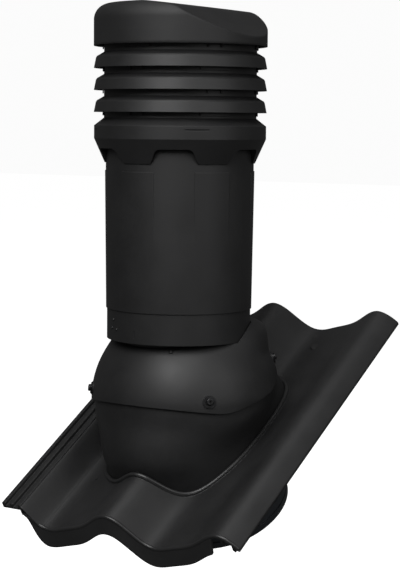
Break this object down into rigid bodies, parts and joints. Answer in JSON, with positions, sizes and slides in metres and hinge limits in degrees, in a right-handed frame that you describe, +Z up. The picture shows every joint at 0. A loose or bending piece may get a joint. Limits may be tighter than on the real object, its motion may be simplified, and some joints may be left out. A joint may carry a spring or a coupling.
{
  "type": "roof tile vent",
  "caption": "Insulated roof vent: a moulded double-wave tile with a domed base, a clamped hood and an upright tube with a louvred head.",
  "frame": {"origin": "where the chimney's axis meets the mean plane of the roof", "axes": "+Z up along the chimney, +Y up the slope, X across the slope; the roof's plane slopes at 30 degrees"},
  "size_m": [0.326, 0.3837, 0.6569],
  "materials": {
    "tile_plastic": "satin black, finely grained",
    "dome_plastic": "satin black",
    "hood_plastic": "satin black, finely grained",
    "collar_plastic": "satin black",
    "tube_plastic": "satin black",
    "head_plastic": "satin black",
    "cap_plastic": "satin black",
    "duct_plastic": "grey, smooth",
    "ring_plastic": "bluish dark grey",
    "foam": "closed-cell foam",
    "seal_rubber": "soft black rubber",
    "hose_rubber": "ribbed black rubber",
    "dark_screw": "blackened steel",
    "dark_washer": "blackened steel",
    "zinc_steel": "zinc plated",
    "clamp_steel": "stainless band"
  },
  "bodies": {
    "root": {"tile_base": "tile_plastic", "lower_dome": "dome_plastic", "hood": "hood_plastic", "hood_screws": "dark_screw", "hood_washers": "dark_washer", "hood_nuts": "zinc_steel", "chimney_collar": "collar_plastic", "outer_tube": "tube_plastic", "inner_duct": "duct_plastic", "insulation_sleeve": "foam", "insulation_cover": "duct_plastic", "head_base": "head_plastic", "louvre_ring_1": "head_plastic", "louvre_ring_2": "head_plastic", "louvre_ring_3": "head_plastic", "rain_cap": "cap_plastic", "long_screws": "zinc_steel", "base_plate": "dome_plastic", "base_spigot": "dome_plastic", "socket_seal": "seal_rubber", "socket_ring": "ring_plastic", "plate_screws": "zinc_steel", "elbow_hose": "hose_rubber", "hose_clamp_upper": "clamp_steel", "hose_clamp_lower": "clamp_steel"}
  },
  "joints": []
}
